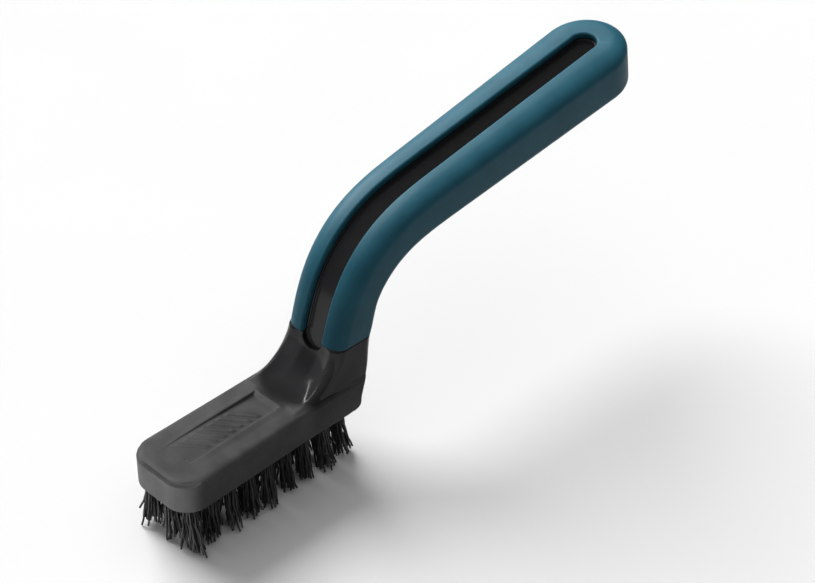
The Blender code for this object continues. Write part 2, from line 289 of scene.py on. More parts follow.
def handle_size(station):
    """The handle's half width and the heights of its top and its underside above the mid-line."""
    share = np.clip(station / (HANDLE_LENGTH - BUTT_HALF_WIDTH), 0.0, 1.0)
    half = mix(SEAM_HALF_WIDTH, BUTT_HALF_WIDTH, share)
    half_depth = mix(SEAM_DEPTH, BUTT_DEPTH, share) / 2
    flare = SEAM_FLARE * (1 - smooth_step(station / FLARE_LENGTH))
    return half, half_depth, -half_depth - flare


# Depths below the core's surface: negative inside, positive outside


def head_top(x, across):
    """The height of the head's top: crowned a little, and raised round the panel's neck end."""
    crown = HEAD_CROWN * (np.abs(across) / TOE_HALF_WIDTH) ** CROWN_POWER
    beside = 1 - smooth_step((np.abs(across) - PANEL_HALF_WIDTH) / BORDER_WIDTH)
    half_way = (PANEL_END - PANEL_START) / 2
    grown = smooth_step((x - PANEL_START) / half_way)
    faded = 1 - smooth_step((x - PANEL_END) / BORDER_WIDTH)
    return HEAD_THICKNESS - crown + BORDER_HEIGHT * beside * grown * faded


def head_depth(x, side, z):
    """The head's block, with round toe corners and a soft edge round its top, open at its heel."""
    share = np.clip(x / HEEL_X, 0.0, 1.0)
    wall = side - mix(TOE_HALF_WIDTH, HEEL_HALF_WIDTH, share)
    outline = soft_corner(wall, -x, TOE_CORNER_RADIUS, TOE_CORNER_RADIUS)
    edge_width = mix(TOE_EDGE_WIDTH, HEEL_EDGE_WIDTH, share)
    block = soft_corner(outline, z - head_top(x, side), edge_width, EDGE_HEIGHT)
    strength = smooth_step((TOE_GROOVE_END - x) / TOE_GROOVE_FADE)
    groove = np.hypot(outline / TOE_GROOVE_STRETCH, z - TOE_GROOVE_Z) - TOE_GROOVE_RADIUS * strength
    return np.maximum(block, -groove)


def bar_height(x, across):
    """How far the row of slanted bars stands up from the panel's floor."""
    place = (x + BAR_SLANT * across - BAR_START) / BAR_PITCH
    distance = np.abs(place - np.round(np.clip(place, 0, BAR_COUNT - 1))) * BAR_PITCH
    ridge = smooth_step((BAR_HALF_WIDTH - distance) / BAR_SOFTNESS + 0.5)
    ends = smooth_step((BAR_HALF_LENGTH - np.abs(across)) / BAR_END_SOFTNESS + 0.5)
    return BAR_HEIGHT * ridge * ends


def panel_depth(x, across, z):
    """The space that the panel takes out of the head's top, deepest at its neck end."""
    floor_end = PANEL_END - PANEL_END_SLOPE
    fall = np.minimum((x - PANEL_START) / (floor_end - PANEL_START), (PANEL_END - x) / PANEL_END_SLOPE)
    floor = head_top(x, across) - PANEL_DEPTH * np.minimum(fall, 1.0) + bar_height(x, across)
    ends = np.maximum(PANEL_START - x, x - PANEL_END - BORDER_WIDTH)
    return np.maximum(np.maximum(np.abs(across) - PANEL_HALF_WIDTH, floor - z), ends)


def bore_depth(x, across, z):
    """The bores that hold the tufts."""
    column = np.round(np.clip((x - FIRST_TUFT_X) / TUFT_PITCH, 0, TUFT_COLUMNS - 1))
    row = np.round(np.clip(across / TUFT_ROWS[-1], -1, 1))
    radius = np.hypot(x - FIRST_TUFT_X - column * TUFT_PITCH, across - row * TUFT_ROWS[-1])
    return np.maximum(radius - BORE_RADIUS, z - BORE_DEPTH)


def neck_depth(along, side, up, z):
    """The neck: a dished front between two round ridges, rising from the head's top to the seam."""
    rise = np.clip((along - SADDLE_X) / (SEAM_ALONG - SADDLE_X), 0.0, 1.0)
    inset = SEAM_STEP * smooth_step((z - SEAM_Z) / SEAM_STEP + 1)
    grown = smooth_step((along - SADDLE_X) / DISH_LENGTH)
    depth = grown * mix(DISH_DEPTH, DISH_HIGH_DEPTH, smooth_step(rise))
    half_dish = mix(DISH_HALF_WIDTH, DISH_HIGH_HALF_WIDTH, smooth_step(rise))
    bowl = np.maximum(1 - (side / half_dish) ** DISH_FLATNESS, 0.0)
    sink = NECK_SINK * np.maximum(SADDLE_X - along, 0.0)
    top = SEAM_DEPTH / 2 - depth * bowl * bowl - sink - inset
    front_half = mix(NECK_HALF_WIDTH, SEAM_HALF_WIDTH, np.sqrt(rise))
    climb = np.clip((z - HEAD_THICKNESS) / (SEAM_Z - HEAD_THICKNESS), 0.0, 1.0)
    back_half = mix(HEEL_HALF_WIDTH, SEAM_HALF_WIDTH, climb)
    half = mix(front_half, back_half, smooth_step((SEAM_DEPTH / 2 - up) / SIDE_BLEND)) - inset
    rounding = mix(RIDGE_RADIUS, TOP_ROUNDING, rise)
    neck = soft_corner(side - half, up - top, rounding, rounding)
    ends = np.maximum(z - SEAM_Z - SEAM_OVERLAP, SADDLE_X - NECK_LEAD - along)
    return np.maximum(neck, ends)


def back_depth(x, z):
    """Everything in front of the leaning back wall and above the bristle face, with a round heel between."""
    seam_back = SEAM_X + (SEAM_DEPTH / 2 + SEAM_FLARE) / math.sin(SEAM_ANGLE)
    lean = math.atan((seam_back - HEEL_X) / (SEAM_Z - HEEL_RISE))
    inset = SEAM_STEP * smooth_step((z - SEAM_Z) / SEAM_STEP + 1)
    wall = (x - HEEL_X - (z - HEEL_RISE) * math.tan(lean)) * math.cos(lean) + inset
    return soft_corner(wall, -z, HEEL_X - FACE_LENGTH, HEEL_RISE)


def spine_depth(station, side, up):
    """The spine that fills the grip, round at the butt."""
    half, top, under = handle_size(station)
    reach = np.hypot(side, np.maximum(station - (HANDLE_LENGTH - BUTT_HALF_WIDTH), 0.0))
    spine = np.maximum(reach - (half - GRIP_SIDE_WALL - GAP), up - (top - LEDGE_DEPTH))
    return np.maximum(np.maximum(spine, under + GRIP_UNDER_WALL + GAP - up), SPINE_START - station)


def groove_depth(station, side, up):
    """The groove along the spine's top, a little wider where it runs out into the neck's front."""
    _, top, _ = handle_size(station)
    half = mix(SLOT_HALF_WIDTH, GROOVE_HALF_WIDTH, smooth_step(station / GROOVE_TAPER + 1))
    low_centre = GROOVE_LOW_END + SLOT_HALF_WIDTH
    high_centre = HANDLE_LENGTH - BUTT_HALF_WIDTH + SLOT_END_REACH - SLOT_HALF_WIDTH
    past_end = np.maximum(np.maximum(low_centre - station, station - high_centre), 0.0)
    return np.maximum(np.hypot(side, past_end) - half, top - GROOVE_DEPTH - up)


def core_depth(along, across, up):
    """The whole core: head, neck and spine with the panel, the bores and the groove taken out."""
    x, z = line_place(along, up)
    side = np.abs(across)
    station = along - SEAM_ALONG
    fillet = mix(BORE_EDGE, NECK_FILLET, smooth_step((along - SADDLE_X) / DISH_LENGTH))
    body = soft_union(head_depth(x, side, z), neck_depth(along, side, up, z), fillet)
    corner = mix(BOTTOM_EDGE, HEEL_CORNER_RADIUS, smooth_step(z / (2 * HEEL_RISE)))
    corner = mix(corner, UNDER_ROUNDING, smooth_step((z - HEAD_THICKNESS) / (SEAM_Z - HEAD_THICKNESS)))
    body = soft_corner(body, back_depth(x, z), corner, corner)
    edge = mix(THIN_EDGE, PANEL_EDGE, smooth_step((x - PANEL_START) / PANEL_START))
    body = soft_corner(body, -panel_depth(x, across, z), edge, edge)
    body = soft_corner(body, -bore_depth(x, across, z), BORE_EDGE, BORE_EDGE)
    body = np.minimum(body, spine_depth(station, side, up))
    return soft_corner(body, -groove_depth(station, side, up), GROOVE_EDGE, GROOVE_EDGE)


# Meshing

CELL = 0.40
LONG_CELL = 0.90
SETTLE_ROUNDS = 4
SETTLE_STEP = 0.02
MOST_SETTLE = 0.12
LEAST_SLOPE_SQUARED = 0.25
NORMAL_STEP = 0.10


def head_to_world(points):
    """Millimetres in the head's place to the frame's metres."""
    return (np.asarray(points, float) + (TOE_X, 0.0, FACE_Z)) * MM


def add_piece(name, points, faces, material, replaced):
    """A new smooth piece from points in the head's place, in the place of one CAD node."""
    mesh = bpy.data.meshes.new(name)
    mesh.from_pydata(head_to_world(points).tolist(), [], faces)
    mesh.shade_smooth()
    mesh.materials.append(material)
    piece = bpy.data.objects.new(name, mesh)
    bpy.context.scene.collection.objects.link(piece)
    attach(piece, "root")
    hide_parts(replaced)
    return piece


def net_corners(values, axes):
    """One point in each grid cell that the surface passes through, and the cells' numbers."""
    inside = values < 0
    shape = [size - 1 for size in values.shape]
    count = np.zeros(shape, np.int8)
    for i in (0, 1):
        for j in (0, 1):
            for k in (0, 1):
                count += inside[i : shape[0] + i, j : shape[1] + j, k : shape[2] + k]
    cells = np.argwhere((count > 0) & (count < 8))
    numbers = np.full(shape, -1)
    numbers[tuple(cells.T)] = np.arange(len(cells))
    total = np.zeros((len(cells), 3))
    hits = np.zeros((len(cells), 1))
    for axis in range(3):
        others = [other for other in range(3) if other != axis]
        for i in (0, 1):
            for j in (0, 1):
                start = cells.copy()
                start[:, others] += (i, j)
                end = start.copy()
                end[:, axis] += 1
                first, second = values[tuple(start.T)], values[tuple(end.T)]
                crossed = (first < 0) != (second < 0)
                share = np.where(crossed, first / np.where(crossed, first - second, 1.0), 0.0)
                places = np.stack([axes[d][start[:, d]] for d in range(3)], axis=1)
                places[:, axis] += share * (axes[axis][end[:, axis]] - axes[axis][start[:, axis]])
                total += places * crossed[:, None]
                hits += crossed[:, None]
    return total / hits, numbers


def net_faces(values, numbers):
    """A quad round each grid edge that the surface crosses, facing out."""
    inside = values < 0
    faces = []
    for axis in range(3):
        left, right = (axis + 1) % 3, (axis + 2) % 3
        below = np.take(inside, range(values.shape[axis] - 1), axis)
        above = np.take(inside, range(1, values.shape[axis]), axis)
        edges = np.argwhere(below != above)
        solid_below = below[tuple(edges.T)]
        quad = []
        for step in ((0, 0), (1, 0), (1, 1), (0, 1)):
            cell = edges.copy()
            cell[:, left] -= step[0]
            cell[:, right] -= step[1]
            quad.append(numbers[tuple(cell.T)])
        quad = np.stack(quad, axis=1)
        quad[~solid_below] = quad[~solid_below, ::-1]
        faces.append(quad)
    return np.concatenate(faces)


def depth_slope(points, step):
    """The core's depth at points along, across and up, and its slope, each way in true millimetres."""
    slope = []
    stretch = line_stretch(points[:, 0], points[:, 2])
    for axis in range(3):
        shift = np.zeros(points.shape)
        shift[:, axis] = step / stretch if axis == 0 else step
        ahead = core_depth(*(points + shift).T)
        behind = core_depth(*(points - shift).T)
        slope.append((ahead - behind) / (2 * step))
    return core_depth(*points.T), np.stack(slope, axis=1), stretch


def settle(points):
    """Moves points near the core's surface onto it."""
    for _ in range(SETTLE_ROUNDS):
        depth, slope, stretch = depth_slope(points, SETTLE_STEP)
        steepness = np.maximum((slope**2).sum(axis=1), LEAST_SLOPE_SQUARED)
        move = -slope * (depth / steepness)[:, None]
        length = np.maximum(np.linalg.norm(move, axis=1), TINY)
        move *= np.minimum(1.0, MOST_SETTLE / length)[:, None]
        move[:, 0] /= stretch
        points = points + move
    return points


def grid_axes():
    """Grid lines along, across and up: fine at the head, the neck and the groove's end, longer between."""
    groove_end = SEAM_ALONG + HANDLE_LENGTH - BUTT_HALF_WIDTH
    handle_start = SEAM_ALONG + SLOT_HALF_WIDTH
    along = [
        np.arange(-2 * CELL, handle_start, CELL),
        np.arange(handle_start, groove_end - SLOT_END_REACH, LONG_CELL),
        np.arange(groove_end - SLOT_END_REACH + CELL, groove_end + BUTT_HALF_WIDTH, CELL),
    ]
    across = np.arange(-TOE_HALF_WIDTH - 2 * CELL, TOE_HALF_WIDTH + 3 * CELL, CELL)
    lowest = ARC_RADIUS - math.hypot(HEEL_X - SADDLE_X, LINE_Z + ARC_RADIUS) - 2 * CELL
    up = np.arange(lowest, BUTT_DEPTH / 2 + 2 * CELL, CELL)
    return np.concatenate(along), across, up


def make_core(material):
    """Head, neck and spine as one finely meshed moulding."""
    axes = grid_axes()
    values = core_depth(axes[0][:, None, None], axes[1][None, :, None], axes[2][None, None, :])
    corners, numbers = net_corners(values, axes)
    faces = net_faces(values, numbers)
    corners = settle(corners)
    _, slope, _ = depth_slope(corners, NORMAL_STEP)
    angle = line_angle(corners[:, 0])
    x, z = line_place(corners[:, 0], corners[:, 2])
    points = np.stack([x, corners[:, 1], z], axis=1)
    normals = np.stack([
        slope[:, 0] * np.cos(angle) - slope[:, 2] * np.sin(angle),
        slope[:, 1],
        slope[:, 0] * np.sin(angle) + slope[:, 2] * np.cos(angle),
    ], axis=1)
    normals /= np.maximum(np.linalg.norm(normals, axis=1), TINY)[:, None]
    core = add_piece("core_moulding", points, faces.tolist(), material, "core_body")
    core.data.normals_split_custom_set_from_vertices(normals.tolist())
    return core


# Grip

GRIP_BEND_STEPS = 110
GRIP_STRAIGHT_STEPS = 24
GRIP_BUTT_STEPS = 30
GRIP_ARC_STEPS = 12
GRIP_END_ROUNDING = 0.35
GRIP_END_CORNER = 0.3 * GRIP_END_ROUNDING
GRIP_SHARP_ANGLE = math.radians(40)
RIM_SHARE = 0.85
BUTT_RIM_SHARE = 0.5
SEAM_BLEND = 8.0
SEAM_SOLVE_STEPS = 6
WELD = 0.002


def seam_shift(up):
    """How far along the mid-line a point that high above it meets the level plane of the seam."""
    station = np.zeros(len(up))
    for _ in range(SEAM_SOLVE_STEPS):
        z = line_place(SEAM_ALONG + station, up)[1]
        station -= (z - SEAM_Z) / np.sin(handle_angle(station))
    return station


def arc(centre, width, height, start):
    """Points of a quarter ellipse, anticlockwise from the start angle."""
    turns = start + np.linspace(0.0, math.pi / 2, GRIP_ARC_STEPS)
    return [(centre[0] + width * math.cos(t), centre[1] + height * math.sin(t)) for t in turns]


def grip_profile(station, butt_share, inset):
    """Half of the grip's C-shaped section, as (out, up) points, drawn in by an inset on the outside."""
    half, top, under = (float(value) for value in handle_size(station))
    half, top, under = half - inset, top - inset, under + inset
    slot = mix(SLOT_HALF_WIDTH, SLOT_END_REACH, butt_share) + inset
    rounding = mix(TOP_ROUNDING, BUTT_TOP_ROUNDING, butt_share)
    ledge = top + inset - LEDGE_DEPTH + GAP
    inner = half + inset - GRIP_SIDE_WALL
    floor = under - inset + GRIP_UNDER_WALL
    lip = LIP_ROUNDING
    brow = (half - slot - lip) * mix(RIM_SHARE, BUTT_RIM_SHARE, butt_share)
    points = [(0.0, under), ((half - UNDER_ROUNDING) / 2, under)]
    under_corner = (half - UNDER_ROUNDING, under + UNDER_ROUNDING)
    points += arc(under_corner, UNDER_ROUNDING, UNDER_ROUNDING, -math.pi / 2)
    points += arc((half - brow, top - rounding), brow, rounding, 0.0)
    points += arc((slot + lip, top - lip), lip, lip, math.pi / 2)
    return points + [(slot, ledge), (inner, ledge), (inner, floor), (0.0, floor)]


def grip_stations():
    """Stations (station, side, turn, inset) down the far side of the handle, round its butt and back."""
    bend_end = BEND_LENGTH - BEND_LEAD
    butt_centre = HANDLE_LENGTH - BUTT_HALF_WIDTH
    bend = np.linspace(0.0, bend_end, GRIP_BEND_STEPS, endpoint=False)
    straight = np.linspace(bend_end, butt_centre, GRIP_STRAIGHT_STEPS, endpoint=False)
    end = [(0.0, GRIP_END_ROUNDING), (GRIP_END_CORNER, GRIP_END_CORNER), (GRIP_END_ROUNDING, 0.0)]
    side = end + [(station, 0.0) for station in np.concatenate([bend[1:], straight])]
    stations = [(station, 1, 0.0, inset) for station, inset in side]
    turns = np.linspace(0.0, math.pi, 2 * GRIP_BUTT_STEPS + 1)
    stations += [(butt_centre, 1, turn, 0.0) for turn in turns]
    return stations + [(station, -1, 0.0, inset) for station, inset in reversed(side)]


def make_grip(material):
    """The soft loop: its section swept down one side of the handle, round the butt and up the other."""
    rows = []
    for station, side, turn, inset in grip_stations():
        out, up = np.array(grip_profile(station, math.sin(turn), inset)).T
        fade = max(1 - station / SEAM_BLEND, 0.0)
        along = SEAM_ALONG + station + out * math.sin(turn) + seam_shift(up) * fade
        x, z = line_place(along, up)
        rows.append(np.stack([x, out * math.cos(turn) * side, z], axis=1))
    points = np.array(rows)
    count, width = points.shape[:2]
    index = np.arange(count * width).reshape(count, width)
    corners = [index[:-1, :-1], index[:-1, 1:], index[1:, 1:], index[1:, :-1]]
    quads = np.stack(corners, axis=-1).reshape(-1, 4).tolist()
    grip = add_piece("grip_loop", points.reshape(-1, 3), quads, material, "soft_grip")
    shape = bmesh.new()
    shape.from_mesh(grip.data)
    shape.verts.ensure_lookup_table()
    end = [shape.verts[i] for i in index[0]] + [shape.verts[i] for i in index[-1][-2:0:-1]]
    shape.faces.new(end)
    bmesh.ops.remove_doubles(shape, verts=shape.verts, dist=WELD * MM)
    bmesh.ops.recalc_face_normals(shape, faces=shape.faces)
    shape.to_mesh(grip.data)
    shape.free()
    grip.data.shade_smooth()
    grip.data.set_sharp_from_angle(angle=GRIP_SHARP_ANGLE)
    return grip


# Tufts

STRAND_RADIUS = 0.32
STRAND_SIDES = 6
STRAND_SHARP_ANGLE = math.radians(70)
STRAND_PITCH = 0.74
STRAND_ROOT = 8.0
STRAND_POINTS = 16
MOST_ROWS = 5
ROOT_CLEARANCE = 0.05
ROOT_JITTER = 0.04
CLUMPS = 5
CLUMP_LEAN = 0.75
STRAND_LEAN = 0.55
SIDE_SPLAY = 0.7
TOE_SPLAY = 0.3
HEEL_SPLAY = 2.6
SPLAY_POWER = 2
LEAN_POWER = 1.6
CRIMP = 0.16
CRIMP_SPREAD = (0.5, 1.4)
CRIMP_GROWTH = 3
CRIMP_LENGTH = 6.5
CRIMP_SIDE_PACE = 0.83
LONGEST_STRAND = FACE_Z - 0.3
STRAND_SPREAD = 2.4
STRAND_FAN = 0.35
TUFT_SEED = 7100


def tuft_places():
    """Where each tuft leaves the face, column by column from the toe."""
    return [(FIRST_TUFT_X + TUFT_PITCH * column, y) for column in range(TUFT_COLUMNS) for y in TUFT_ROWS]


def strand_roots(rng):
    """Strand places packed in the bore, in hexagonal order, each a little out of line."""
    reach = BORE_RADIUS - STRAND_RADIUS
    steps = np.arange(-MOST_ROWS, MOST_ROWS + 1)
    column, row = np.meshgrid(steps, steps)
    x = (column + 0.5 * (row % 2)) * STRAND_PITCH
    y = row * STRAND_PITCH * math.sqrt(0.75)
    roots = np.stack([x.ravel(), y.ravel()], axis=1)
    roots = roots[np.hypot(*roots.T) < reach - ROOT_CLEARANCE]
    return roots + rng.uniform(-ROOT_JITTER, ROOT_JITTER, roots.shape)


def tuft_paths(rng, place):
    """The centre lines of one tuft's strands: straight in the bore, then crimped and leaning in clumps."""
    roots = strand_roots(rng)
    count = len(roots)
    centres = rng.uniform(-BORE_RADIUS, BORE_RADIUS, (CLUMPS, 2))
    clump = np.linalg.norm(roots[:, None] - centres[None], axis=2).argmin(axis=1)
    head_share = (place[0] - FIRST_TUFT_X) / (LAST_TUFT_X - FIRST_TUFT_X)
    outward = np.array([
        mix(-TOE_SPLAY, HEEL_SPLAY, head_share) * abs(2 * head_share - 1) ** SPLAY_POWER,
        SIDE_SPLAY * place[1] / TUFT_ROWS[-1],
    ])
    clump_lean = rng.normal(0.0, CLUMP_LEAN, (CLUMPS, 2))[clump]
    strand_lean = rng.normal(0.0, STRAND_LEAN, (count, 2))
    lean = outward + clump_lean + strand_lean + roots * STRAND_FAN
    length = LONGEST_STRAND - np.abs(rng.normal(0.0, STRAND_SPREAD, count))
    phase = rng.uniform(0.0, 2 * math.pi, (count, 2))
    crimp = CRIMP * rng.uniform(*CRIMP_SPREAD, (count, 1))
    share = np.linspace(-STRAND_ROOT / LONGEST_STRAND, 1.0, STRAND_POINTS)[None, :]
    below = np.maximum(share, 0.0)
    fallen = length[:, None] * share
    wave = 2 * math.pi * fallen / CRIMP_LENGTH
    swing = crimp * smooth_step(below * CRIMP_GROWTH)
    drift = below**LEAN_POWER
    side_wave = wave * CRIMP_SIDE_PACE
    x = place[0] + roots[:, :1] + lean[:, :1] * drift + swing * np.sin(wave + phase[:, :1])
    y = place[1] + roots[:, 1:] + lean[:, 1:] * drift + swing * np.sin(side_wave + phase[:, 1:])
    return np.stack([x, y, -fallen], axis=2)


def strand_tubes(paths):
    """Points and faces of a closed tube round each path."""
    count, length = paths.shape[:2]
    turns = 2 * math.pi * np.arange(STRAND_SIDES) / STRAND_SIDES
    tangent = np.gradient(paths, axis=1)
    tangent /= np.linalg.norm(tangent, axis=2, keepdims=True)
    first = np.cross(tangent, (0.0, 1.0, 0.0))
    first /= np.linalg.norm(first, axis=2, keepdims=True)
    second = np.cross(tangent, first)
    ring = first[:, :, None] * np.cos(turns)[:, None] + second[:, :, None] * np.sin(turns)[:, None]
    points = (paths[:, :, None] + STRAND_RADIUS * ring).reshape(-1, 3)
    index = np.arange(len(points)).reshape(count, length, STRAND_SIDES)
    turned = np.roll(index, -1, axis=2)
    corners = [index[:, :-1], turned[:, :-1], turned[:, 1:], index[:, 1:]]
    sides = np.stack(corners, axis=-1).reshape(-1, 4)
    caps = [cap[::-1] for cap in index[:, 0].tolist()] + index[:, -1].tolist()
    return points, sides.tolist() + caps


def make_tufts(material):
    """The tufts of crimped strands, one piece for each."""
    tufts = []
    for number, place in enumerate(tuft_places(), 1):
        rng = np.random.default_rng(TUFT_SEED + number)
        points, faces = strand_tubes(tuft_paths(rng, place))
        name, replaced = f"strands_{number:02d}", f"tuft_{number:02d}"
        tuft = add_piece(name, points, faces, material, replaced)
        tuft.data.set_sharp_from_angle(angle=STRAND_SHARP_ANGLE)
        tufts.append(tuft)
    return tufts


# Materials: colours are linear, and a pair is the range that a noise spreads a value over

# Each noise is its scale per metre, its detail and, if it is stretched, how much along x, y and z.
CORE_MOTTLE = (160.0, 4.0)
CORE_GRAIN = (2600.0, 2.0)
GRIP_MOTTLE = (110.0, 4.0)
GRIP_STIPPLE = (3200.0, 2.0)
STRAND_SHADES = (1500.0, 1.0, (1.0, 1.0, 0.02))
DRAW_LINES = (9000.0, 2.0, (1.0, 1.0, 0.05))
STEEL_BRUSHING = (6000.0, 2.0, (1.0, 0.05, 1.0))
STEEL_PATCHES = (700.0, 3.0)
WEAR_PATCHES = (900.0, 3.0)
FLOOR_MOTTLE = (12.0, 3.0)

# The span of a noise that is used, and the spans of pointiness that count as an edge
NOISE_SPAN = (0.3, 0.7)
STRAND_SPAN = (0.35, 0.65)
PATCH_SPAN = (0.35, 0.7)
CORE_EDGE_SPAN = (0.56, 0.66)
GRIP_EDGE_SPAN = (0.51, 0.60)
LEAST_WEAR = 0.3

# Each bump is its strength and its height in metres.
CORE_BUMP = (0.35, 0.00010)
GRIP_BUMP = (0.25, 0.00008)
STRAND_BUMP = (0.2, 0.00003)
STEEL_BUMP = (0.3, 0.00003)

MATT_BLACKS = ((0.018, 0.018, 0.0185), (0.024, 0.024, 0.0245))
POLISHED_BLACK = (0.0055, 0.0055, 0.0058)
# Painted shade: the black that darkens the slot and the neck just under the grip's end
PAINTED_SHADE_BLACK = (0.003, 0.003, 0.0032)
WORN_BLACK = (0.050, 0.050, 0.051)
TEALS = ((0.006, 0.041, 0.060), (0.008, 0.048, 0.069))
WORN_TEAL = (0.014, 0.070, 0.092)
FILAMENT_BLACKS = ((0.004, 0.004, 0.004), (0.012, 0.012, 0.012))
STEELS = ((0.56, 0.56, 0.54), (0.36, 0.34, 0.31))
FLOOR_GREYS = ((0.332, 0.332, 0.332), (0.342, 0.342, 0.342))

MATT_ROUGHNESS = (0.50, 0.64)
GLOSSY_ROUGHNESS = (0.14, 0.20)
GRIP_ROUGHNESS = (0.42, 0.56)
FILAMENT_ROUGHNESS = (0.36, 0.50)
STEEL_ROUGHNESS = (0.26, 0.46)
FLOOR_ROUGHNESS = 0.9
CORE_SPECULAR = 0.20
GRIP_SPECULAR = 0.12
FILAMENT_SPECULAR = 0.3
FLOOR_SPECULAR = 0.1

# Where the core turns from matt to polished, and where painted shade darkens its slot and the neck under the
# grip's end, in the head's place
POLISH_START = 42.0
POLISH_END = 47.5
POLISH_CURVE = 0.040
POLISH_DROP = 1.5
POLISHED_GRAIN = 0.06
LEAST_DARKENING = 0.3
SEAM_SHADE_START = 5.0
SEAM_SHADE_END = 1.0
SLOT_SHADE_START = 14.0
SLOT_SHADE_END = 7.0
SLOT_SHADE_HALF_WIDTH = 2.2
SLOT_SHADE_EDGE = 4.4


def new_material(name):
    """A new material, its node tree and its shader."""
    material = bpy.data.materials.new(name)
    material.use_nodes = True
    return material, material.node_tree, material.node_tree.nodes["Principled BSDF"]


def add_node(tree, kind, inputs=None, **settings):
    """A new node with its settings, its values and its links: an input that is a socket is linked."""
    node = tree.nodes.new(kind)
    for name, value in settings.items():
        setattr(node, name, value)
    for name, value in (inputs or {}).items():
        if isinstance(value, bpy.types.NodeSocket):
            tree.links.new(value, node.inputs[name])
        else:
            node.inputs[name].default_value = value
    return node


def noise(tree, scale, detail, stretch=(1.0, 1.0, 1.0)):
    """Noise over the object's own place, with its scale per metre."""
    place = add_node(tree, "ShaderNodeTexCoord").outputs["Object"]
    spread = add_node(tree, "ShaderNodeMapping", {"Vector": place, "Scale": stretch})
    inputs = {"Vector": spread.outputs[0], "Scale": scale, "Detail": detail}
    return add_node(tree, "ShaderNodeTexNoise", inputs).outputs["Fac"]


def remap(tree, value, low, high, to_low=0.0, to_high=1.0):
    """A value stretched from one range to another and held at its ends."""
    inputs = {"Value": value, "From Min": low, "From Max": high, "To Min": to_low, "To Max": to_high}
    return add_node(tree, "ShaderNodeMapRange", inputs, interpolation_type="SMOOTHSTEP").outputs[0]


def blend_colour(tree, share, first, second):
    """A colour between two others, each a colour or a socket."""
    node = tree.nodes.new("ShaderNodeMix")
    node.data_type = "RGBA"
    sockets = [socket for socket in node.inputs if socket.enabled]
    for socket, value in zip(sockets, (share, first, second)):
        if isinstance(value, bpy.types.NodeSocket):
            tree.links.new(value, socket)
        else:
            socket.default_value = (*value, 1.0)
    return next(socket for socket in node.outputs if socket.enabled)


def calculate(tree, operation, first, second=0.0):
    """One sum, named as the Math node names it."""
    return add_node(tree, "ShaderNodeMath", {0: first, 1: second}, operation=operation).outputs[0]


def add_bump(tree, shader, height, strength, distance):
    """Lets a height move the shader's normal."""
    bump = add_node(tree, "ShaderNodeBump", {"Height": height, "Strength": strength, "Distance": distance})
    tree.links.new(bump.outputs[0], shader.inputs["Normal"])


def worn_edges(tree, low, high):
    """1 on sharp outer edges, broken up by noise, and 0 elsewhere."""
    pointiness = add_node(tree, "ShaderNodeNewGeometry").outputs["Pointiness"]
    edge = remap(tree, pointiness, low, high)
    patches = remap(tree, noise(tree, *WEAR_PATCHES), *PATCH_SPAN, LEAST_WEAR, 1.0)
    return calculate(tree, "MULTIPLY", edge, patches)


def core_zones(tree):
    """Where the core lies behind the head, is polished, is darkened, and gets painted shade from the grip's
    end and its slot.
    """
    place = add_node(tree, "ShaderNodeTexCoord").outputs["Object"]
    x, y, z = add_node(tree, "ShaderNodeSeparateXYZ", {0: place}).outputs
    head_top_z = FACE_Z + HEAD_THICKNESS
    seam_z = FACE_Z + SEAM_Z
    rounded = calculate(tree, "MULTIPLY", calculate(tree, "MULTIPLY", y, y), POLISH_CURVE / MM)
    towards_neck = calculate(tree, "SUBTRACT", x, rounded)
    behind = remap(tree, towards_neck, (TOE_X + POLISH_START) * MM, (TOE_X + POLISH_END) * MM)
    at_top = remap(tree, z, (head_top_z - POLISH_DROP) * MM, head_top_z * MM)
    polished = calculate(tree, "MULTIPLY", behind, at_top)
    off_face = remap(tree, z, FACE_Z * MM, head_top_z * MM, LEAST_DARKENING, 1.0)
    darkened = calculate(tree, "MULTIPLY", behind, off_face)
    # Painted shade: the core goes darker near the seam, and down a middle strip of the neck's front below
    # the slot
    painted_seam_shade = remap(tree, z, (seam_z - SEAM_SHADE_START) * MM, (seam_z - SEAM_SHADE_END) * MM)
    side = calculate(tree, "ABSOLUTE", y)
    in_slot = remap(tree, side, SLOT_SHADE_HALF_WIDTH * MM, SLOT_SHADE_EDGE * MM, 1.0, 0.0)
    near_seam = remap(tree, z, (seam_z - SLOT_SHADE_START) * MM, (seam_z - SLOT_SHADE_END) * MM)
    painted_slot_shade = calculate(tree, "MULTIPLY", in_slot, near_seam)
    painted_grip_shade = calculate(tree, "MAXIMUM", painted_seam_shade, painted_slot_shade)
    return behind, polished, darkened, painted_grip_shade


def core_material():
    """Black moulded plastic: a matt spark-worn texture on the head, polished on the neck and the handle,
    with painted shade near the grip.
    """
    material, tree, shader = new_material("black_moulded_plastic")
    behind, polished, darkened, painted_grip_shade = core_zones(tree)
    mottle = noise(tree, *CORE_MOTTLE)
    grain = noise(tree, *CORE_GRAIN)
    tone = blend_colour(tree, remap(tree, mottle, *NOISE_SPAN), *MATT_BLACKS)
    tone = blend_colour(tree, darkened, tone, POLISHED_BLACK)
    # Painted shade: the slot and the neck under the grip's end are darkened here
    tone = blend_colour(tree, painted_grip_shade, tone, PAINTED_SHADE_BLACK)
    on_head = remap(tree, behind, 0.0, 1.0, 1.0, 0.0)
    worn = calculate(tree, "MULTIPLY", worn_edges(tree, *CORE_EDGE_SPAN), on_head)
    tone = blend_colour(tree, worn, tone, WORN_BLACK)
    tree.links.new(tone, shader.inputs["Base Color"])
    matt = remap(tree, grain, *NOISE_SPAN, *MATT_ROUGHNESS)
    glossy = remap(tree, mottle, *NOISE_SPAN, *GLOSSY_ROUGHNESS)
    roughness = add_node(tree, "ShaderNodeMix", {0: polished, 2: matt, 3: glossy}).outputs[0]
    tree.links.new(roughness, shader.inputs["Roughness"])
    shader.inputs["Specular IOR Level"].default_value = CORE_SPECULAR
    height = calculate(tree, "MULTIPLY", grain, remap(tree, polished, 0.0, 1.0, 1.0, POLISHED_GRAIN))
    add_bump(tree, shader, height, *CORE_BUMP)
    return material


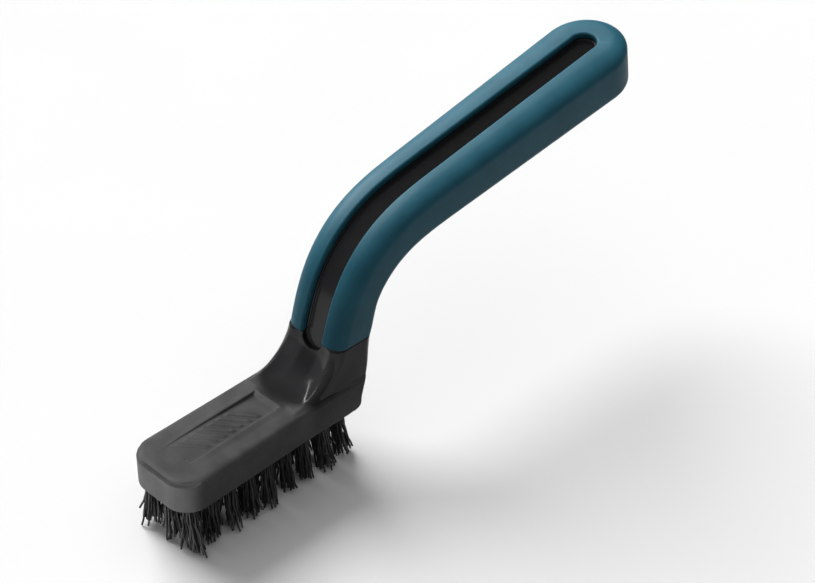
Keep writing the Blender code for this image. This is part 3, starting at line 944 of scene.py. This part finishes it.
def grip_material():
    """Teal soft-touch rubber with a fine stipple, paler where hands have worn its edges."""
    material, tree, shader = new_material("teal_soft_rubber")
    mottle = noise(tree, *GRIP_MOTTLE)
    stipple = noise(tree, *GRIP_STIPPLE)
    tone = blend_colour(tree, remap(tree, mottle, *NOISE_SPAN), *TEALS)
    tone = blend_colour(tree, worn_edges(tree, *GRIP_EDGE_SPAN), tone, WORN_TEAL)
    tree.links.new(tone, shader.inputs["Base Color"])
    tree.links.new(remap(tree, stipple, *NOISE_SPAN, *GRIP_ROUGHNESS), shader.inputs["Roughness"])
    shader.inputs["Specular IOR Level"].default_value = GRIP_SPECULAR
    add_bump(tree, shader, stipple, *GRIP_BUMP)
    return material


def filament_material():
    """Black nylon filament, each strand a slightly different shade, with fine draw lines along it."""
    material, tree, shader = new_material("black_nylon_filament")
    strand = noise(tree, *STRAND_SHADES)
    lines = noise(tree, *DRAW_LINES)
    tone = blend_colour(tree, remap(tree, strand, *STRAND_SPAN), *FILAMENT_BLACKS)
    tree.links.new(tone, shader.inputs["Base Color"])
    tree.links.new(remap(tree, lines, *NOISE_SPAN, *FILAMENT_ROUGHNESS), shader.inputs["Roughness"])
    shader.inputs["Specular IOR Level"].default_value = FILAMENT_SPECULAR
    add_bump(tree, shader, lines, *STRAND_BUMP)
    return material


def steel_material():
    """Drawn staple wire, brushed along its length and dulled in patches."""
    material, tree, shader = new_material("drawn_staple_steel")
    brushed = noise(tree, *STEEL_BRUSHING)
    patches = noise(tree, *STEEL_PATCHES)
    tone = blend_colour(tree, remap(tree, patches, *PATCH_SPAN), *STEELS)
    tree.links.new(tone, shader.inputs["Base Color"])
    tree.links.new(remap(tree, brushed, *NOISE_SPAN, *STEEL_ROUGHNESS), shader.inputs["Roughness"])
    shader.inputs["Metallic"].default_value = 1.0
    add_bump(tree, shader, brushed, *STEEL_BUMP)
    return material


def floor_material():
    """A plain pale matt sheet."""
    material, tree, shader = new_material("pale_floor")
    tone = blend_colour(tree, noise(tree, *FLOOR_MOTTLE), *FLOOR_GREYS)
    tree.links.new(tone, shader.inputs["Base Color"])
    shader.inputs["Roughness"].default_value = FLOOR_ROUGHNESS
    shader.inputs["Specular IOR Level"].default_value = FLOOR_SPECULAR
    return material


def dress_staples(material):
    """The CAD staples stay, with a better material."""
    for name, node in frame["nodes"].items():
        if name.startswith("staple_"):
            for slot in node.material_slots:
                slot.material = material


# Stage: angles in degrees, sizes and distances in metres

FLOOR_HALF_SIZE = 6.0
KEY_AZIMUTH = 172
KEY_ELEVATION = 40
KEY_SPREAD = 45
KEY_STRENGTH = 10.0
GLOSS_STRENGTH = 5.0
TOP_AZIMUTH = 0
TOP_ELEVATION = 90
TOP_SPREAD = 80
TOP_STRENGTH = 1.9
TOE_FILL_AZIMUTH = -95
TOE_FILL_ELEVATION = 12
TOE_FILL_DISTANCE = 0.5
TOE_FILL_SIZE = (0.30, 0.30)
TOE_FILL_POWER = 13.4
STRIP_AZIMUTH = -172
STRIP_ELEVATION = 34
STRIP_DISTANCE = 0.9
STRIP_SIZE = (0.8, 0.03)
STRIP_POWER = 2.6
WORLD_LIGHT = 0.30
WORLD_SEEN = 0.96
WORLD_MIRRORED = 0.10


def make_floor():
    """A wide level sheet under the filament tips."""
    half = FLOOR_HALF_SIZE
    corners = [(-half, -half, 0), (half, -half, 0), (half, half, 0), (-half, half, 0)]
    mesh = bpy.data.meshes.new("floor")
    mesh.from_pydata(corners, [], [(0, 1, 2, 3)])
    mesh.materials.append(floor_material())
    floor = bpy.data.objects.new("floor", mesh)
    bpy.context.scene.collection.objects.link(floor)


def look_from(azimuth, elevation):
    """The unit vector from the object towards a viewer or a light."""
    level = math.cos(elevation)
    return Vector((math.sin(azimuth) * level, -math.cos(azimuth) * level, math.sin(elevation)))


def add_softbox(name, target, azimuth, elevation, distance, size, power):
    """An area light of a width and height, aimed at a target and hidden from the camera."""
    light = bpy.data.lights.new(name, "AREA")
    light.shape = "RECTANGLE"
    light.size, light.size_y = size
    light.energy = power
    softbox = bpy.data.objects.new(name, light)
    towards = look_from(math.radians(azimuth), math.radians(elevation))
    softbox.location = target + towards * distance
    softbox.visible_camera = False
    softbox.rotation_euler = towards.to_track_quat("Z", "Y").to_euler()
    bpy.context.scene.collection.objects.link(softbox)
    return softbox


def add_sky_light(name, azimuth, elevation, spread, strength):
    """A light as even as a bright window far away."""
    light = bpy.data.lights.new(name, "SUN")
    light.angle = math.radians(spread)
    light.energy = strength
    window = bpy.data.objects.new(name, light)
    towards = look_from(math.radians(azimuth), math.radians(elevation))
    window.rotation_euler = towards.to_track_quat("Z", "Y").to_euler()
    bpy.context.scene.collection.objects.link(window)
    return window


def light_only(light, pieces):
    """Keeps a light to a few pieces, as a card held close to them would."""
    lit = bpy.data.collections.new(light.name)
    for piece in pieces:
        lit.objects.link(piece)
    light.light_linking.receiver_collection = lit


def make_world():
    """An even pale surround.

    It lights the object less than it shows, and mirrors still less, so that black stays black.
    """
    world = bpy.data.worlds.new("studio")
    world.use_nodes = True
    tree = world.node_tree
    background = tree.nodes["Background"]
    background.inputs["Color"].default_value = (1.0, 1.0, 1.0, 1.0)
    ray = add_node(tree, "ShaderNodeLightPath").outputs
    inputs = {"Value": ray["Is Camera Ray"], "To Min": WORLD_LIGHT, "To Max": WORLD_SEEN}
    strength = add_node(tree, "ShaderNodeMapRange", inputs).outputs[0]
    inputs = {"Value": ray["Is Glossy Ray"], "To Min": strength, "To Max": WORLD_MIRRORED}
    strength = add_node(tree, "ShaderNodeMapRange", inputs).outputs[0]
    tree.links.new(strength, background.inputs["Strength"])
    bpy.context.scene.world = world


def make_camera():
    """The camera at the photographed angle, with its image plane turned a little."""
    data = bpy.data.cameras.new("camera")
    data.lens = CAMERA_LENS
    camera = bpy.data.objects.new("camera", data)
    towards = look_from(CAMERA_AZIMUTH, CAMERA_ELEVATION)
    aim = (cad_box[0] + cad_box[1]) / 2 + CAMERA_AIM
    turned = towards.to_track_quat("Z", "Y").to_matrix().to_4x4() @ Matrix.Rotation(CAMERA_ROLL, 4, "Z")
    camera.matrix_world = Matrix.Translation(aim + towards * CAMERA_DISTANCE) @ turned
    bpy.context.scene.collection.objects.link(camera)
    bpy.context.scene.camera = camera


middle = (cad_box[0] + cad_box[1]) / 2
toe = Vector((cad_box[0].x, 0.0, mounts["head_top"][2]))
make_camera()
make_world()
make_floor()
key = add_sky_light("key", KEY_AZIMUTH, KEY_ELEVATION, KEY_SPREAD, KEY_STRENGTH)
top = add_sky_light("top", TOP_AZIMUTH, TOP_ELEVATION, TOP_SPREAD, TOP_STRENGTH)
core = make_core(core_material())
grip = make_grip(grip_material())
tufts = make_tufts(filament_material())
toe_fill = add_softbox(
    "toe_fill",
    toe,
    TOE_FILL_AZIMUTH,
    TOE_FILL_ELEVATION,
    TOE_FILL_DISTANCE,
    TOE_FILL_SIZE,
    TOE_FILL_POWER,
)
light_only(toe_fill, [core] + tufts)
strip = add_softbox(
    "strip",
    middle,
    STRIP_AZIMUTH,
    STRIP_ELEVATION,
    STRIP_DISTANCE,
    STRIP_SIZE,
    STRIP_POWER,
)
gloss = add_sky_light("gloss", KEY_AZIMUTH, KEY_ELEVATION, KEY_SPREAD, GLOSS_STRENGTH)
light_only(gloss, [grip])
for light in (key, top, toe_fill):
    light.visible_glossy = False
for light in (strip, gloss):
    light.visible_diffuse = False
bpy.context.scene.view_settings.view_transform = "Standard"
dress_staples(steel_material())
